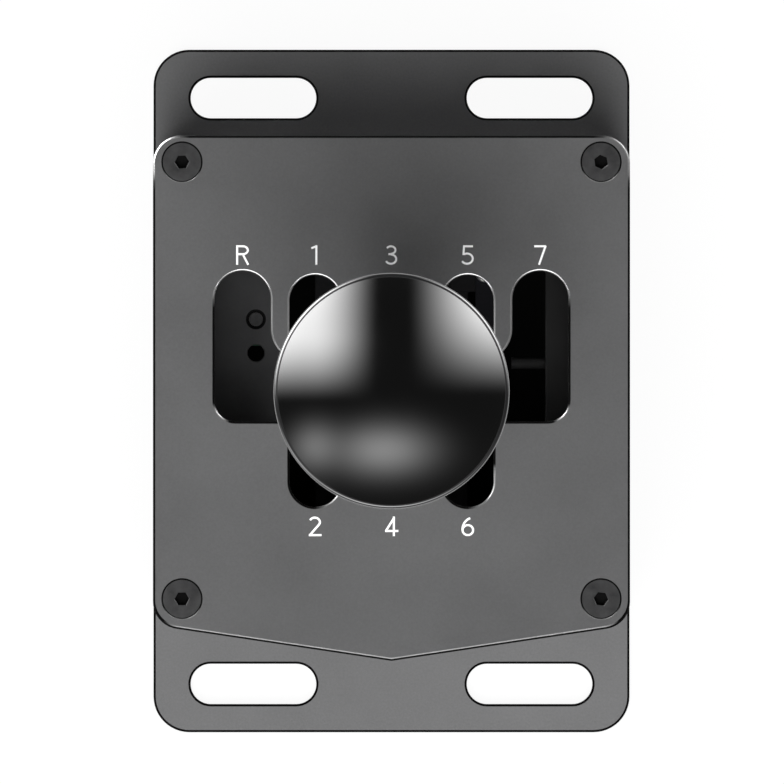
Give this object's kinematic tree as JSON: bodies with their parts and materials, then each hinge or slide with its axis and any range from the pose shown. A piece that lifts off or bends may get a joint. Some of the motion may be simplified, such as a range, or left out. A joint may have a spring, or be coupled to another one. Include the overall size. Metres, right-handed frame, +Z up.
{
  "type": "sim racing gear shifter",
  "caption": "H-pattern gear shifter for driving games: slotted base plate, metal housing with a gate cover, gimballed lever and a round gloss knob.",
  "frame": {"origin": "centre of the base plate's underside, which is also the centre of the bounding box's bottom", "axes": "+Z up along the lever at rest, +X to the driver's right, +Y forward, away from the driver"},
  "size_m": [0.106, 0.152, 0.1921],
  "materials": {
    "plate_grey": "bead-blasted, dark grey anodised",
    "block_grey": "bead-blasted, dark grey anodised",
    "cover_grey": "fine-grained, dark grey anodised",
    "black_oxide": "black oxide",
    "black_sheet": "matte black powder coat",
    "turned_steel": "turned",
    "bearing_steel": "polished",
    "spring_steel": "drawn",
    "yoke_black": "machined, black anodised",
    "brass": "turned",
    "zinc": "zinc plated",
    "circuit_board": "solder mask",
    "chip_black": "moulded",
    "bump_black": "matte",
    "nylon": "moulded",
    "knob_black": "polished gloss",
    "shell_black": "moulded gloss"
  },
  "bodies": {
    "housing": {"base_plate": "plate_grey", "front_block": "block_grey", "rear_block": "block_grey", "left_wall": "block_grey", "right_wall": "block_grey", "gate_cover": "cover_grey", "cover_screws": "black_oxide", "base_screws": "black_oxide", "wall_screws": "black_oxide", "left_shelf": "black_sheet", "right_rail": "black_sheet", "stop_screw": "black_oxide", "stop_nut": "zinc", "main_board": "circuit_board", "board_chips": "chip_black", "board_standoffs": "brass", "board_screws": "black_oxide", "sensor_board": "circuit_board", "hall_sensor": "chip_black", "sensor_spacers": "nylon", "sensor_screws": "zinc", "usb_board": "circuit_board", "usb_socket": "zinc", "usb_screws": "zinc", "spring_anchors": "black_sheet", "anchor_screws": "zinc", "trunnion_outer_races": "bearing_steel"},
    "yoke": {"yoke": "yoke_black", "trunnion_pins": "turned_steel", "trunnion_sleeves": "brass", "trunnion_inner_races": "bearing_steel", "trunnion_balls": "bearing_steel", "shaft_outer_races": "bearing_steel", "front_centring_spring": "spring_steel", "rear_centring_spring": "spring_steel", "detent_spring": "spring_steel", "detent_screw": "zinc"},
    "lever": {"lever_hub": "yoke_black", "shift_shaft": "turned_steel", "hub_spacers": "brass", "shaft_inner_races": "bearing_steel", "shaft_balls": "bearing_steel", "shaft_clips": "spring_steel", "detent_cam": "turned_steel", "sensor_magnet": "bearing_steel", "stop_collar": "bump_black", "grub_screws": "black_oxide", "lever_rod": "turned_steel", "jam_nut": "black_oxide", "knob_insert": "brass", "knob_base": "shell_black", "knob_ring": "shell_black", "knob_cap": "knob_black"}
  },
  "joints": [
    {"name": "select", "type": "hinge", "parent": "housing", "child": "yoke", "pos_m": [0, 0, 0.025], "axis": [0, 1, 0], "range_deg": [-14.96, 14.96], "stiffness_Nm_per_rad": 6, "deforming": ["front_centring_spring", "rear_centring_spring"]},
    {"name": "shift", "type": "hinge", "parent": "yoke", "child": "lever", "pos_m": [0, 0, 0.025], "axis": [1, 0, 0], "range_deg": [-16.5, 16.5], "deforming": ["detent_spring"]}
  ]
}
